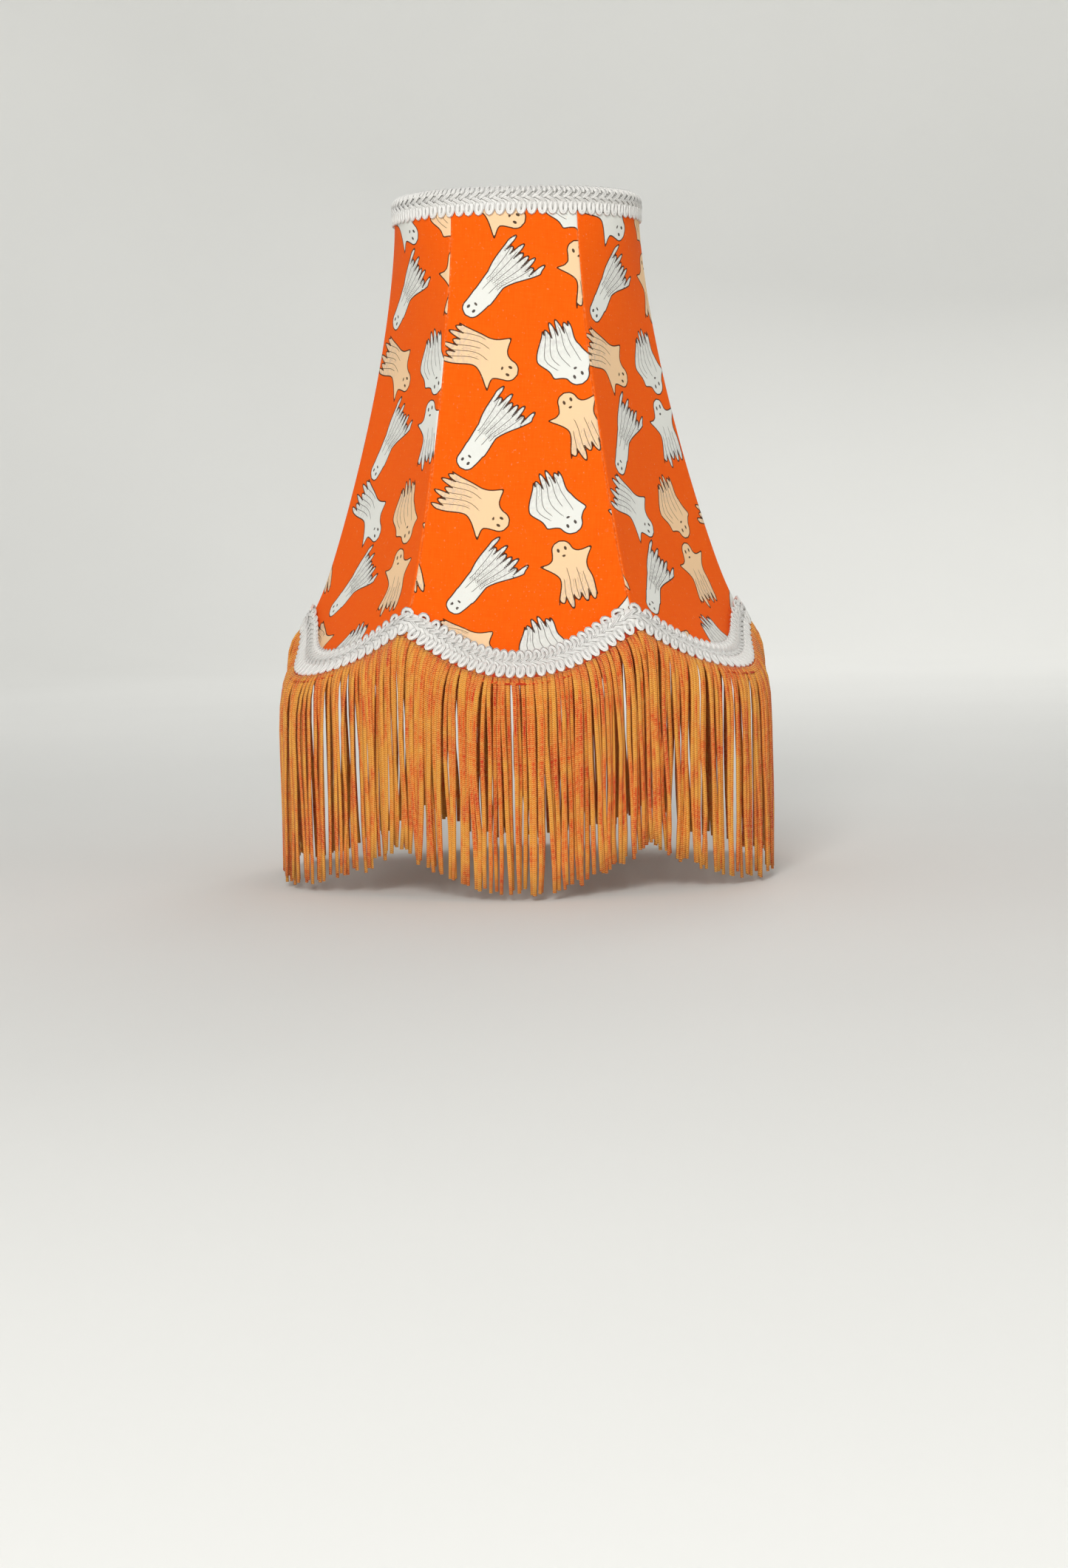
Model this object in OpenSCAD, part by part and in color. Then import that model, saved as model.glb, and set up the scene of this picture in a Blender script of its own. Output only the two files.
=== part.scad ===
// Six-sided bell lamp shade with scalloped panels, braid trim and hanging fringe.
// Millimetres, +Z up. The origin is the centre of the fitter washer's hole at the
// washer's underside, which is the face that rests on the lamp's harp.
// One panel faces -Y. Depths are measured down from the top of the upper braid.

/* [Top opening] */
// Outside diameter of the wire ring at the top
top_ring_od = 101.6; // [80:0.2:130]
// Height of the middle of the top ring above the washer's seat
spider_recess = 14; // [10:0.5:25]

/* [Bell] */
// Distance across opposite ribs at their lower ends, outside the cloth
bottom_span = 191; // [160:0.5:250]
// Depth of the ribs' lower ends below the top of the shade
rib_drop = 183; // [140:0.5:240]
// How far the middle of each panel's lower edge hangs below its corners
scallop_drop = 17.5; // [8:0.1:28]
// How late the bell opens: 1 is a straight cone
bell_power = 1.58; // [1.3:0.02:2.4]
// Share of the bell's opening that is the turned-out lip at the bottom
lip_share = 0.072; // [0:0.002:0.2]
// Roundness of a panel's middle: 1 is round, 0 flat, and below 0 hollow
panel_bow = -0.1; // [-0.2:0.02:0.5]
// Roundness at the lowest point of the scalloped edge
edge_bow = 0.88; // [0.3:0.02:1.2]

/* [Cloth] */
// Thickness of the printed cover
cover_t = 0.9; // [0.5:0.1:1.5]
// Thickness of the lining
lining_t = 0.6; // [0.4:0.1:1.2]

/* [Wire frame] */
// Diameter of the top ring's wire
ring_wire = 3.2; // [2.4:0.1:4]
// Diameter of the ribs and of the scalloped bottom wires
rib_wire = 2.6; // [2:0.1:3.2]
// Diameter of the three spider arms
spider_wire = 3.2; // [2.4:0.1:4]
// Outside diameter of the fitter washer
washer_od = 25.4; // [20:0.2:32]
// Thickness of the fitter washer
washer_t = 2; // [1.5:0.1:3]
// Diameter of the hole that goes over the harp's stud
washer_hole = 11.1; // [8:0.1:12]

/* [Trim] */
// Width of the braid
braid_w = 12.7; // [8:0.1:18]
// Thickness of the braid
braid_t = 1.5; // [0.8:0.1:2.5]
// Width of the woven heading that carries the fringe
heading_w = 12; // [8:0.5:16]
// How much of the heading shows below the braid
heading_show = 3; // [1:0.5:5]
// Thickness of the heading
heading_t = 0.8; // [0.5:0.1:1.2]
// Length of the fringe below the braid
fringe_drop = 86; // [40:1:120]
// How far the fringe swings out before it hangs straight
fringe_out = 5; // [2:0.5:9]
// Thickness of the curtain of cords
fringe_t = 3; // [2:0.5:5]

/* [Hidden] */

panels = 6;
half_panel = 180 / panels;
fit_gap = 0.1;                 // air between pieces that lie on each other
weld = 0.3;                    // how far a welded wire sinks into its neighbour
braid_over_ring = ring_wire / 2 + 2 * fit_gap + cover_t;
ring_depth = braid_over_ring + braid_t;
ring_r = top_ring_od / 2 - ring_wire / 2;
top_r = top_ring_od / 2 + fit_gap + cover_t;
bottom_r = bottom_span / 2;
shade_top = spider_recess + ring_depth;
round_depth = braid_w;         // the cloth stays round behind the upper braid
bow_fade = 30;                 // depth over which the round top turns into flat panels
edge_power = 12;               // how close to the edge the panels turn round again
lip_start = 0.936;             // where the lip turns out, as a share of rib_drop
lip_soft = 0.033;
lining_air = 0.5;              // room for the bends of the bottom wires inside the lining
lining_inset = cover_t + 3 * fit_gap + rib_wire + lining_air;
ring_lead = cover_t + 2 * fit_gap + ring_wire - lining_inset;  // further in at the top ring
heading_inset = -fit_gap;
braid_inset = heading_inset - heading_t - fit_gap;
fringe_turn = 1.1 * fringe_out;
panel_cols = 12;
panel_rows = 22;
row_crowding = 1.35;           // rows lie closer together towards the turned-out lip
lining_cols = 8;
lining_rows = 12;
wire_sides = 10;

// Direction that panel k's middle faces, and the direction of the rib on its left.
function panel_angle(k) = -90 + 60 * (k - 1);
function rib_angle(k) = panel_angle(k) - half_panel;

// The bell's outline along a rib: a power curve with a softly turned-out lip.
function lip(t) = ln(1 + exp((t - lip_start) / lip_soft));
function bell(t) = (1 - lip_share) * pow(max(t, 0), bell_power)
                   + lip_share * (lip(t) - lip(0)) / (lip(1) - lip(0));
function rib_r(d) = top_r + (bottom_r - top_r) * bell((d - ring_depth) / (rib_drop - ring_depth));
function rib_slope(d) = rib_r(d + 0.5) - rib_r(d - 0.5);

// Roundness of a level cut through the shade: 1 behind the upper braid, near panel_bow
// down the panels, and edge_bow at the lowest point of the scallops.
function bow(d) = panel_bow
                  + (1 - panel_bow) * exp(-max(d - round_depth, 0) / bow_fade)
                  + (edge_bow - panel_bow) * pow(d / (rib_drop + scallop_drop), edge_power);

// Radius of the cloth at u, from -1 at a panel's left rib to 1 at its right rib, and depth d.
// inset is the distance inwards from the cover's outer face, square to the cloth.
function level_share(a, b) = (1 - b) * cos(half_panel) / cos(a) + b;
function skin_r(u, d, inset) =
    let (a = u * half_panel, b = bow(d), s = rib_slope(d))
    rib_r(d) * level_share(a, b) - inset * sqrt(1 + s * s) / cos(a * (1 - b));
function at(angle, r, d) = [r * cos(angle), r * sin(angle), shade_top - d];
function skin(k, u, d, inset) = at(panel_angle(k) + u * half_panel, skin_r(u, d, inset), d);

// Depth of the lower edge across one panel, and a step up or down along the cloth from it.
function edge_depth(u) = rib_drop + scallop_drop * cos(90 * u);
function along(d, w) = d + w / sqrt(1 + pow(rib_slope(d + w / 2), 2));

// Tube along a path of points: ref is any direction that the path never runs along.
function unit(v) = v / norm(v);
function tangent(p, i) = unit(p[min(i + 1, len(p) - 1)] - p[max(i - 1, 0)]);
function tube_ring(c, t, ref, r) =
    let (side = unit(cross(t, ref)), up = cross(side, t))
    [for (j = [0:wire_sides - 1])
        let (a = j * 360 / wire_sides) c + r * (cos(a) * side + sin(a) * up)];
module wire(path, ref, d) {
    n = len(path);
    m = wire_sides;
    rings = [for (i = [0:n - 1]) each tube_ring(path[i], tangent(path, i), ref, d / 2)];
    walls = [for (i = [0:n - 2], j = [0:m - 1])
        let (a = i * m + j, b = i * m + (j + 1) % m)
        each [[a, b, b + m], [a, b + m, a + m]]];
    first = [for (j = [0:m - 1]) m - 1 - j];
    last = [for (j = [0:m - 1]) (n - 1) * m + j];
    polyhedron(concat(rings), concat(walls, [first, last]));
}

// Closed shell between an outer and an inner grid of points, each rows x cols,
// with rows running down and columns running to the right as seen from outside.
module shell(outer, inner, rows, cols) {
    n = rows * cols;
    function quad(a, b, c, d) = [[a, b, c], [a, c, d]];
    faces = [for (i = [0:rows - 2], j = [0:cols - 2])
        let (a = i * cols + j, b = a + 1, c = b + cols, d = a + cols)
        each concat(quad(a, b, c, d), quad(n + d, n + c, n + b, n + a))];
    left_right = [for (i = [0:rows - 2])
        let (a = i * cols, d = a + cols, b = a + cols - 1, c = b + cols)
        each concat(quad(a, d, n + d, n + a), quad(b, n + b, n + c, c))];
    top_bottom = [for (j = [0:cols - 2])
        let (a = j, b = j + 1, d = (rows - 1) * cols + j, c = d + 1)
        each concat(quad(a, n + a, n + b, b), quad(d, c, n + c, n + d))];
    polyhedron(concat(outer, inner), concat(faces, left_right, top_bottom));
}

// Closed belt round the whole shade: cuts holds one outline after another, all of m points.
module belt(cuts, m) {
    n = len(cuts);
    points = [for (c = cuts) each c];
    faces = [for (i = [0:n - 1], j = [0:m - 1])
        let (a = i * m + j, b = i * m + (j + 1) % m, step = ((i + 1) % n - i) * m)
        each [[a, b, b + step], [a, b + step, a + step]]];
    polyhedron(points, faces);
}

// One cloth panel from depth top down to lift above the scalloped edge. At the top it
// stands lead further in, which fades out down the panel.
module cloth_panel(k, top, lift, inset, thick, rows, cols, lead = 0) {
    function grid(depth_in) = [for (i = [0:rows - 1], j = [0:cols - 1])
        let (u = -1 + 2 * j / (cols - 1), low = edge_depth(u) - lift,
             t = 1 - pow(1 - i / (rows - 1), row_crowding), d = top + (low - top) * t)
        skin(k, u, d, depth_in + lead * exp(-(d - top) / bow_fade))];
    shell(grid(inset), grid(inset + thick), rows, cols);
}

// A band that follows the scalloped edge, from w_up above it to w_down below it.
module edge_band(w_up, w_down, inset, thick) {
    steps = 4;
    cuts = [for (k = [1:panels], j = [0:panel_cols - 1])
        let (u = -1 + 2 * j / panel_cols, e = edge_depth(u),
             d = [for (i = [0:steps]) along(e, -w_up + (w_up + w_down) * i / steps)])
        [for (i = [0:steps]) skin(k, u, d[i], inset - thick),
         for (i = [steps:-1:0]) skin(k, u, d[i], inset)]];
    belt(cuts, 2 * (steps + 1));
}

module top_ring() {
    color("silver")
        translate([0, 0, spider_recess])
        rotate_extrude($fn = 96)
        translate([ring_r, 0])
        circle(d = ring_wire, $fn = 32);
}

module rib(k) {
    start = ring_depth + ring_wire / 2 - weld;
    end = along(rib_drop, -rib_wire);
    steps = 18;
    path = [for (i = [0:steps])
        let (d = start + (end - start) * i / steps)
        at(rib_angle(k), skin_r(1, d, cover_t + fit_gap + rib_wire / 2), d)];
    color("silver") wire(path, [-sin(rib_angle(k)), cos(rib_angle(k)), 0], rib_wire);
}

module scallop_wire(k) {
    steps = 16;
    reach = 1 - (rib_wire - weld) / 2 / (bottom_r * PI / panels / 2);
    path = [for (i = [0:steps])
        let (u = reach * (-1 + 2 * i / steps))
        skin(k, u, along(edge_depth(u), -rib_wire), cover_t + 3 * fit_gap + rib_wire / 2)];
    color("silver") wire(path, [0, 0, 1], rib_wire);
}

// An arm leaves the ring level, dips to the recess and runs level into the washer's rim.
module spider_arm(k) {
    angle = rib_angle(2 * k);
    outer = ring_r - ring_wire / 2 + weld;
    inner = washer_od / 2 - weld;
    steps = 16;
    path = [for (i = [0:steps])
        let (t = i / steps, dip = pow(sin(90 * min(max((t - 0.12) / 0.6, 0), 1)), 2))
        at(angle, outer + (inner - outer) * t,
           ring_depth + (spider_recess - washer_t / 2) * dip)];
    color("silver") wire(path, [-sin(angle), cos(angle), 0], spider_wire);
}

module fitter_washer() {
    color("silver")
        difference() {
            cylinder(d = washer_od, h = washer_t, $fn = 96);
            translate([0, 0, -1]) cylinder(d = washer_hole, h = washer_t + 2, $fn = 96);
        }
}

module cover_panel(k) {
    color("darkorange") cloth_panel(k, ring_depth, 0, 0, cover_t, panel_rows, panel_cols + 1);
}

module lining_panel(k) {
    top = ring_depth + max(ring_wire, spider_wire) / 2 + 2 * fit_gap;
    color("white")
        cloth_panel(k, top, rib_wire / 2, lining_inset, lining_t, lining_rows, lining_cols + 1,
                    ring_lead);
}

// The upper braid lies on the cloth up to the ring and rolls in over it.
module top_braid() {
    inside = braid_over_ring;
    outside = inside + braid_t;
    roll = 120;
    steps = 10;
    rows = 4;
    function on_cloth(i, thick) =
        let (d = braid_w + (ring_depth - braid_w) * i / rows)
        [skin_r(0, d, -fit_gap - thick) - ring_r, ring_depth - d];
    color("whitesmoke")
        translate([0, 0, spider_recess])
        rotate_extrude($fn = 96)
        translate([ring_r, 0])
        polygon(concat(
            [for (i = [0:rows - 1]) on_cloth(i, braid_t)],
            [for (i = [0:steps]) let (a = roll * i / steps) outside * [cos(a), sin(a)]],
            [for (i = [0:steps]) let (a = roll * (1 - i / steps)) inside * [cos(a), sin(a)]],
            [for (i = [rows - 1:-1:0]) on_cloth(i, 0)]));
}

module bottom_braid() {
    color("whitesmoke") edge_band(braid_w, 0, braid_inset, braid_t);
}

module fringe_heading() {
    color("orangered") edge_band(heading_w - heading_show, heading_show, heading_inset, heading_t);
}

// A curtain of cords leaves along the lip and bends to hang straight down.
module fringe(k) {
    rows = 9;
    cols = panel_cols + 1;
    function grid(side) = [for (i = [0:rows - 1], j = [0:cols - 1])
        let (u = -1 + 2 * j / (cols - 1), e = edge_depth(u),
             d0 = along(e, heading_show + fit_gap), t = i / (rows - 1),
             s = (e + fringe_drop - d0) * t * t,
             r = skin_r(u, d0, heading_inset - heading_t / 2)
                 + fringe_out * (1 - exp(-s / fringe_turn)) + side * fringe_t / 2)
        at(panel_angle(k) + u * half_panel, r, d0 + s)];
    color("goldenrod") shell(grid(1), grid(-1), rows, cols);
}

top_ring();
rib(1);  // rib_1
rib(2);  // rib_2
rib(3);  // rib_3
rib(4);  // rib_4
rib(5);  // rib_5
rib(6);  // rib_6
scallop_wire(1);  // scallop_wire_1
scallop_wire(2);  // scallop_wire_2
scallop_wire(3);  // scallop_wire_3
scallop_wire(4);  // scallop_wire_4
scallop_wire(5);  // scallop_wire_5
scallop_wire(6);  // scallop_wire_6
spider_arm(1);  // spider_arm_1
spider_arm(2);  // spider_arm_2
spider_arm(3);  // spider_arm_3
fitter_washer();
cover_panel(1);  // cover_panel_1
cover_panel(2);  // cover_panel_2
cover_panel(3);  // cover_panel_3
cover_panel(4);  // cover_panel_4
cover_panel(5);  // cover_panel_5
cover_panel(6);  // cover_panel_6
lining_panel(1);  // lining_panel_1
lining_panel(2);  // lining_panel_2
lining_panel(3);  // lining_panel_3
lining_panel(4);  // lining_panel_4
lining_panel(5);  // lining_panel_5
lining_panel(6);  // lining_panel_6
top_braid();
bottom_braid();
fringe_heading();
fringe(1);  // fringe_1
fringe(2);  // fringe_2
fringe(3);  // fringe_3
fringe(4);  // fringe_4
fringe(5);  // fringe_5
fringe(6);  // fringe_6
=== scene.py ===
"""Six-sided bell lamp shade in printed cotton, with looped braid and a chainette fringe.

Shapes are worked out in millimetres and put into meshes in metres. Every surface is a
function of the angle round the shade and the depth below its top, as the frame's is.
"""

import math

import bpy
import numpy as np
from mathutils import Matrix, Vector


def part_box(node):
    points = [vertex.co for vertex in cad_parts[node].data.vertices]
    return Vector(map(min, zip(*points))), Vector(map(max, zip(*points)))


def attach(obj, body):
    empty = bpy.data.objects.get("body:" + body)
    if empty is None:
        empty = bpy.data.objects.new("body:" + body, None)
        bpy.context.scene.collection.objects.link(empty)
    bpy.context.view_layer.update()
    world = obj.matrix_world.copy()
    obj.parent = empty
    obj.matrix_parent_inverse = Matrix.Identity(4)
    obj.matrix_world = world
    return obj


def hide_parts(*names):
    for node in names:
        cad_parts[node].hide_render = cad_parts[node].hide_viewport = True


MM = 0.001
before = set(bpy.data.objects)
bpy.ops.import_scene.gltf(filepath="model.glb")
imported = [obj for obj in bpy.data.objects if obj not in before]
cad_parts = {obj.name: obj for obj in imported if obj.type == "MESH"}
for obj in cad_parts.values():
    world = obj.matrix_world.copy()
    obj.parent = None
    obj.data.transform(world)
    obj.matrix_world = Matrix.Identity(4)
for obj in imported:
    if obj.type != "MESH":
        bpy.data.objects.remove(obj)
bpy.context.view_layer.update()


# ---------------------------------------------------------------- sizes from the frame

def box_mm(node):
    """Lowest and highest corner of a frame node, in millimetres."""
    return np.array(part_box(node)) / MM


PANELS = 6
HALF_PANEL = 30.0              # degrees from a panel's middle to its ribs
RING_LOW, RING_HIGH = box_mm("top_ring")
BRAID_LOW, BRAID_HIGH = box_mm("top_braid")
COVER_LOW = box_mm("cover_panel_1")[0]
RING_WIRE = RING_HIGH[2] - RING_LOW[2]
RING_R = RING_HIGH[0] - RING_WIRE / 2
RING_Z = (RING_HIGH[2] + RING_LOW[2]) / 2
TOP_Z = BRAID_HIGH[2]
RING_DEPTH = TOP_Z - RING_Z
BRAID_W = TOP_Z - BRAID_LOW[2]
SCALLOP_DROP = 17.5            # how far a panel's middle hangs below its corners
EDGE_LOW = TOP_Z - COVER_LOW[2]
RIB_DROP = EDGE_LOW - SCALLOP_DROP
FRINGE_DROP = COVER_LOW[2] - box_mm("fringe_1")[0][2]
COVER_T = 0.9
LINING_T = 0.6
GAP = 0.1                      # air between pieces that lie on each other
TOP_R = RING_HIGH[0] + GAP + COVER_T
BOTTOM_R = 191 / 2             # to the outside of the cloth at a rib's lower end

# The bell's outline, as the frame has it.
BELL_POWER = 1.58              # how late the bell opens
LIP_SHARE = 0.072              # share of the opening that is the turned-out lip
LIP_START = 0.936
LIP_SOFT = 0.033
PANEL_BOW = -0.1               # a little hollow down the panels
EDGE_BOW = 0.88                # nearly round at the lowest edge
BOW_FADE = 30.0
EDGE_POWER = 12
CREASE = 1.6                   # width over which the cloth turns round a rib


# ---------------------------------------------------------------- the cloth's surface

def softplus(t):
    """ln(1 + e^((t - start) / softness)): flat, then a straight rise."""
    return np.log1p(np.exp((t - LIP_START) / LIP_SOFT))


def rib_radius(depth):
    """Radius along a rib: a power curve from the ring, plus a lip that turns out near the end."""
    t = (depth - RING_DEPTH) / (RIB_DROP - RING_DEPTH)
    lip = (softplus(t) - softplus(0.0)) / (softplus(1.0) - softplus(0.0))
    bell = (1 - LIP_SHARE) * np.maximum(t, 0) ** BELL_POWER + LIP_SHARE * lip
    return TOP_R + (BOTTOM_R - TOP_R) * bell


def rib_slope(depth):
    """Millimetres outwards for each millimetre down, by a centred difference."""
    return rib_radius(depth + 0.5) - rib_radius(depth - 0.5)


def bow(depth):
    """Roundness of a level cut: 1 at the ring, nearly flat down the panels, round at the edge."""
    fade = np.exp(-np.maximum(depth - BRAID_W, 0) / BOW_FADE)
    edge = (np.maximum(depth, 0) / EDGE_LOW) ** EDGE_POWER
    return PANEL_BOW + (1 - PANEL_BOW) * fade + (EDGE_BOW - PANEL_BOW) * edge


def cloth_radius(angle, depth, lift=0.0):
    """Radius of the cloth at an angle in degrees and a depth, lift millimetres off its face.

    A level cut is a mix of the flat chord between two ribs, cos(30) / cos(a), and a circle.
    Near a rib the local angle is eased so that the cloth turns round the wire.
    """
    local = (angle + 90 + HALF_PANEL) % (2 * HALF_PANEL) - HALF_PANEL
    roundness = bow(depth)
    radius = rib_radius(depth)
    ease = CREASE / (radius * math.radians(HALF_PANEL))
    x = np.abs(local) / HALF_PANEL
    turned = np.maximum(x - (1 - ease), 0)
    x = x - turned ** 2 / (2 * ease)
    a = np.radians(x * HALF_PANEL)
    share = (1 - roundness) * math.cos(math.radians(HALF_PANEL)) / np.cos(a) + roundness
    tilt = np.sqrt(1 + rib_slope(depth) ** 2) / np.cos(a * (1 - roundness))
    return radius * share + lift * tilt


def place(angle, radius, depth):
    """Point at an angle in degrees, a radius and a depth below the top."""
    a = np.radians(angle)
    return np.stack([radius * np.cos(a), radius * np.sin(a), TOP_Z - depth], -1)


def on_cloth(angle, depth, lift=0.0):
    """Point on the cloth, or lift millimetres outside it."""
    return place(angle, cloth_radius(angle, depth, lift), depth)


def edge_depth(u):
    """Depth of the scalloped edge across a panel, a cosine arch between two ribs."""
    return RIB_DROP + SCALLOP_DROP * np.cos(0.5 * np.pi * u)


def panel_angle(k):
    """Direction that panel k's middle faces, in degrees: panel 1 faces -Y."""
    return -90.0 + 2 * HALF_PANEL * (k - 1)


# ---------------------------------------------------------------- mesh building

def unit(v):
    """Vectors scaled to length 1."""
    return v / np.linalg.norm(v, axis=-1, keepdims=True)


def smooth_noise(x, seed, step):
    """Even random values every step millimetres, joined by a smooth cosine blend."""
    values = np.random.default_rng(seed).uniform(-1, 1, 4096)
    t = np.asarray(x) / step
    i = np.floor(t).astype(int)
    f = 0.5 - 0.5 * np.cos(np.pi * (t - i))
    return values[i % 4096] * (1 - f) + values[(i + 1) % 4096] * f


def grid_faces(rows, cols, belt=False):
    """Quads of a grid whose rows run down and whose columns run to the right, seen from outside.

    A belt is closed both ways: its rows go down the outside and come up the inside.
    """
    i, j = np.meshgrid(np.arange(rows if belt else rows - 1),
                       np.arange(cols if belt else cols - 1), indexing="ij")
    below, right = (i + 1) % rows, (j + 1) % cols
    quads = np.stack([i * cols + j, below * cols + j, below * cols + right, i * cols + right], -1)
    return quads.reshape(-1, 4)


def piece(name, points, faces, uvs=None, fields=None):
    """Mesh object from points in millimetres and arrays of faces.

    uvs holds one UV array for each array of faces, and fields one value a point.
    """
    mesh = bpy.data.meshes.new(name)
    loops = np.concatenate([f.ravel() for f in faces]).astype(np.int32)
    sizes = np.concatenate([np.full(len(f), f.shape[1]) for f in faces])
    mesh.vertices.add(len(points))
    mesh.vertices.foreach_set("co", (np.asarray(points) * MM).ravel())
    mesh.loops.add(len(loops))
    mesh.loops.foreach_set("vertex_index", loops)
    mesh.polygons.add(len(sizes))
    mesh.polygons.foreach_set("loop_start", (np.cumsum(sizes) - sizes).astype(np.int32))
    if uvs is not None:
        layer = mesh.uv_layers.new(name="cloth")
        layer.data.foreach_set("uv", np.concatenate([u.reshape(-1, 2) for u in uvs]).ravel())
    for field, values in (fields or {}).items():
        mesh.attributes.new(field, "FLOAT", "POINT").data.foreach_set("value", values.ravel())
    mesh.update(calc_edges=True)
    mesh.validate()
    mesh.shade_smooth()
    obj = bpy.data.objects.new(name, mesh)
    bpy.context.scene.collection.objects.link(obj)
    return obj


def dressed(obj, mat, node):
    """Gives a piece its material and its slot, and hides the frame node that it stands for."""
    obj.data.materials.append(mat)
    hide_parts(node)
    return obj


def thickened(obj, thickness):
    """Gives a sheet its wall, inwards from its outer face."""
    wall = obj.modifiers.new("wall", "SOLIDIFY")
    wall.thickness = thickness * MM
    wall.offset = -1
    return obj


def tubes(paths, wide, thick, face, sides, closed=False):
    """Oval tubes along paths of shape (tubes, points, 3), all worked out at once.

    A ring is cos(a) * wide across the way that the tube faces, and sin(a) * thick along it.
    Returns the points, the arrays of faces and their UVs: the share of the way round and the
    length along the tube in millimetres.
    """
    n, m = paths.shape[:2]
    if closed:
        ahead = np.roll(paths, -1, 1) - np.roll(paths, 1, 1)
    else:
        ahead = np.gradient(paths, axis=1)
    ahead = unit(ahead)
    up = unit(face - (face * ahead).sum(-1, keepdims=True) * ahead)
    side = np.cross(up, ahead)
    a = 2 * np.pi * np.arange(sides) / sides
    wide = np.broadcast_to(wide, (n, m))[..., None, None]
    thick = np.broadcast_to(thick, (n, m))[..., None, None]
    ring = (np.cos(a)[:, None] * wide * side[:, :, None, :]
            + np.sin(a)[:, None] * thick * up[:, :, None, :])
    points = (paths[:, :, None, :] + ring).reshape(-1, 3)
    steps = m if closed else m - 1
    i, r, j = np.meshgrid(np.arange(n), np.arange(steps), np.arange(sides), indexing="ij")
    here = (i * m + r) * sides
    beyond = (i * m + (r + 1) % m) * sides
    turn = (j + 1) % sides
    quads = np.stack([here + j, here + turn, beyond + turn, beyond + j], -1).reshape(-1, 4)
    length = np.linalg.norm(np.diff(paths, axis=1), axis=-1)
    run = np.concatenate([np.zeros((n, 1)), np.cumsum(length, 1)], 1)
    run = np.concatenate([run, run[:, -1:] + length[:, :1]], 1)
    u0, u1 = j / sides, (j + 1) / sides
    v0, v1 = run[i, r], run[i, r + 1]
    uv = np.stack([np.stack(p, -1) for p in ((u0, v0), (u1, v0), (u1, v1), (u0, v1))], -2)
    faces, uvs = [quads], [uv.reshape(-1, 4, 2)]
    if not closed:
        first = np.arange(n)[:, None] * m * sides + np.arange(sides)[::-1]
        last = (np.arange(n)[:, None] * m + m - 1) * sides + np.arange(sides)
        faces += [first, last]
        uvs += [np.zeros(first.shape + (2,)), np.zeros(last.shape + (2,))]
    return points, faces, uvs


def joined(parts):
    """Several (points, faces, uvs) sets as one."""
    points, faces, uvs, base = [], [], [], 0
    for p, fs, us in parts:
        points.append(p)
        faces += [f + base for f in fs]
        uvs += us
        base += len(p)
    return np.concatenate(points), faces, uvs


def turned(profile, steps):
    """A closed outline of (radius, height) points turned round the vertical axis."""
    r, z = np.array(profile, float).T
    a = 2 * np.pi * np.arange(steps) / steps
    points = np.stack([r[:, None] * np.cos(a), r[:, None] * np.sin(a), z[:, None] + 0 * a], -1)
    return points.reshape(-1, 3), grid_faces(len(r), steps, belt=True)


# ---------------------------------------------------------------- material parts

def linear(r, g, b):
    """A screen colour from 0 to 255 as the linear colour that the nodes take."""
    def channel(c):
        c = c / 255
        return c / 12.92 if c <= 0.04045 else ((c + 0.055) / 1.055) ** 2.4
    return (channel(r), channel(g), channel(b), 1.0)


class Nodes:
    """Short calls for one node tree: every method adds a node and returns an output."""

    def __init__(self, tree):
        self.tree = tree

    def add(self, kind, inputs=(), out=0, **settings):
        """A node with its settings, its inputs by name or index, and the output asked for."""
        node = self.tree.nodes.new(kind)
        for key, value in settings.items():
            setattr(node, key, value)
        for key, value in dict(inputs).items():
            if isinstance(value, bpy.types.NodeSocket):
                self.tree.links.new(value, node.inputs[key])
            elif value is not None:
                node.inputs[key].default_value = value
        return node.outputs[out]

    def math(self, operation, a, b=None, c=None):
        return self.add("ShaderNodeMath", {0: a, 1: b, 2: c}, operation=operation)

    def ramp(self, value, low, high, a=0.0, b=1.0):
        """A straight, clamped ramp: a at low, b at high."""
        return self.add("ShaderNodeMapRange", {0: value, 1: low, 2: high, 3: a, 4: b})

    def mix(self, factor, a, b, blend="MIX"):
        return self.add("ShaderNodeMix", {0: factor, 6: a, 7: b}, out=2,
                        data_type="RGBA", blend_type=blend)

    def field(self, name):
        return self.add("ShaderNodeAttribute", attribute_name=name, out="Fac")

    def noise(self, vector, scale, detail=3.0, roughness=0.55):
        return self.add("ShaderNodeTexNoise", {"Vector": vector, "Scale": scale, "Detail": detail,
                                               "Roughness": roughness}, out="Fac")

    def stretched(self, vector, scale):
        return self.add("ShaderNodeMapping", {"Vector": vector, "Scale": scale},
                        vector_type="POINT")

    def xyz(self, vector):
        node = self.add("ShaderNodeSeparateXYZ", {0: vector}).node
        return node.outputs[0], node.outputs[1], node.outputs[2]

    def bump(self, height, strength, distance):
        return self.add("ShaderNodeBump", {"Height": height, "Strength": strength,
                                           "Distance": distance})


def group(name, inputs, outputs, build):
    """A node group with named number inputs and outputs, filled by build(nodes, inputs)."""
    tree = bpy.data.node_groups.new(name, "ShaderNodeTree")
    for label, kind, value in inputs:
        socket = tree.interface.new_socket(label, in_out="INPUT", socket_type=kind)
        if value is not None:
            socket.default_value = value
    for label, kind in outputs:
        tree.interface.new_socket(label, in_out="OUTPUT", socket_type=kind)
    nodes = Nodes(tree)
    source = tree.nodes.new("NodeGroupInput")
    results = build(nodes, source.outputs)
    sink = tree.nodes.new("NodeGroupOutput")
    for label, value in results.items():
        tree.links.new(value, sink.inputs[label])
    return tree


def use(nodes, tree, inputs):
    """Places a group and returns its outputs by name."""
    node = nodes.tree.nodes.new("ShaderNodeGroup")
    node.node_tree = tree
    for key, value in inputs.items():
        if isinstance(value, bpy.types.NodeSocket):
            nodes.tree.links.new(value, node.inputs[key])
        else:
            node.inputs[key].default_value = value
    return node.outputs


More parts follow.
